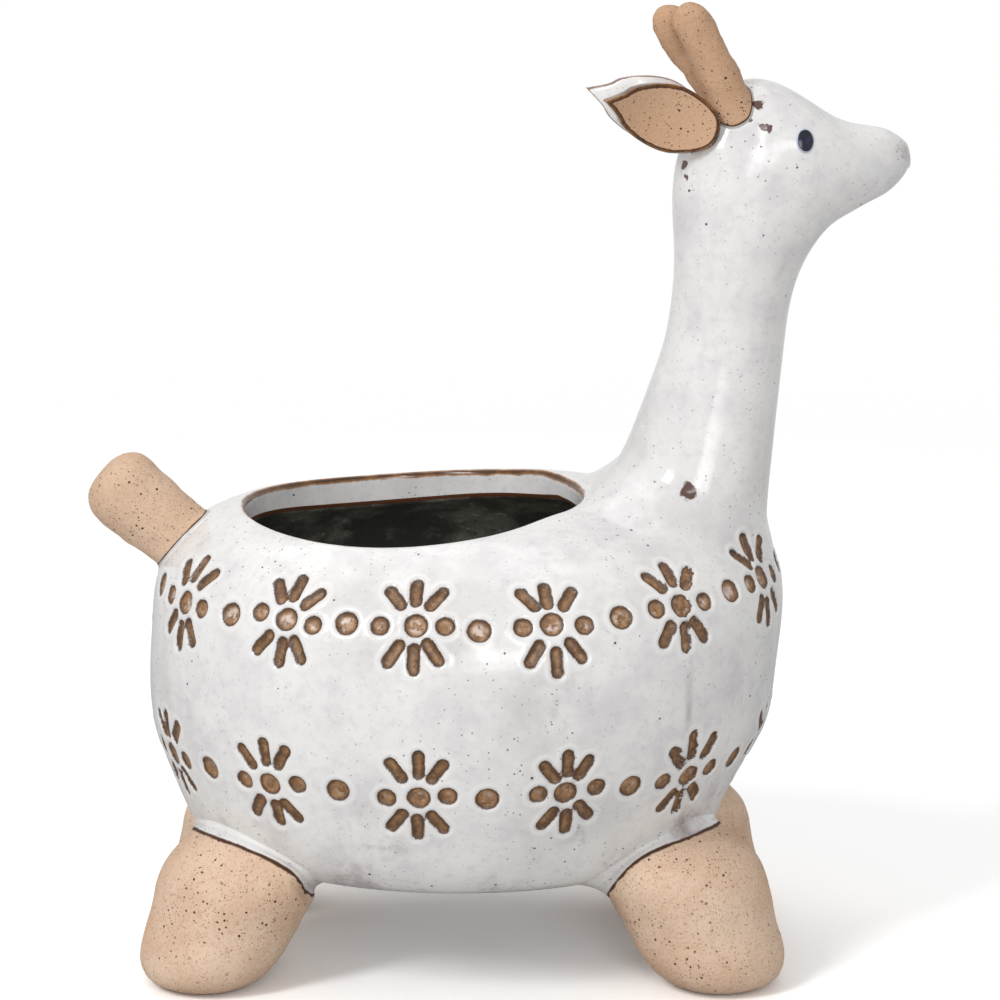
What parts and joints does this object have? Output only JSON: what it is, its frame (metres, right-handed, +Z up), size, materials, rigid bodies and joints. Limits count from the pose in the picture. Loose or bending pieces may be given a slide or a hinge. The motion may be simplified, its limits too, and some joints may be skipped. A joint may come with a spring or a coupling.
{
  "type": "animal planter",
  "caption": "Stoneware planter shaped like a standing giraffe: hollow glazed pot with stamped flower bands, bare clay legs, tail and ears, and a rubber stopper in its drain.",
  "frame": {"origin": "on the ground under the middle of the whole planter's box", "axes": "+X towards the snout, +Y to the animal's left, +Z up"},
  "size_m": [0.1866, 0.1226, 0.22],
  "materials": {
    "glaze": "glossy off-white glaze with iron specks",
    "bare_clay": "unglazed speckled stoneware",
    "eye_glaze": "glossy blue-black glaze",
    "stopper": "matt black rubber"
  },
  "bodies": {
    "planter": {"pot_bowl": "glaze", "neck": "glaze", "head": "glaze", "tail": "bare_clay", "ear_left": "bare_clay", "ear_right": "bare_clay", "ossicone_left": "bare_clay", "ossicone_right": "bare_clay", "leg_front_left": "bare_clay", "leg_front_right": "bare_clay", "leg_rear_left": "bare_clay", "leg_rear_right": "bare_clay", "eye_left": "eye_glaze", "eye_right": "eye_glaze"},
    "stopper": {"drain_plug": "stopper"}
  },
  "joints": [
    {"name": "stopper_pull", "type": "slide", "parent": "planter", "child": "stopper", "axis": [0, 0, 1], "range_m": [0, 0.095]}
  ]
}
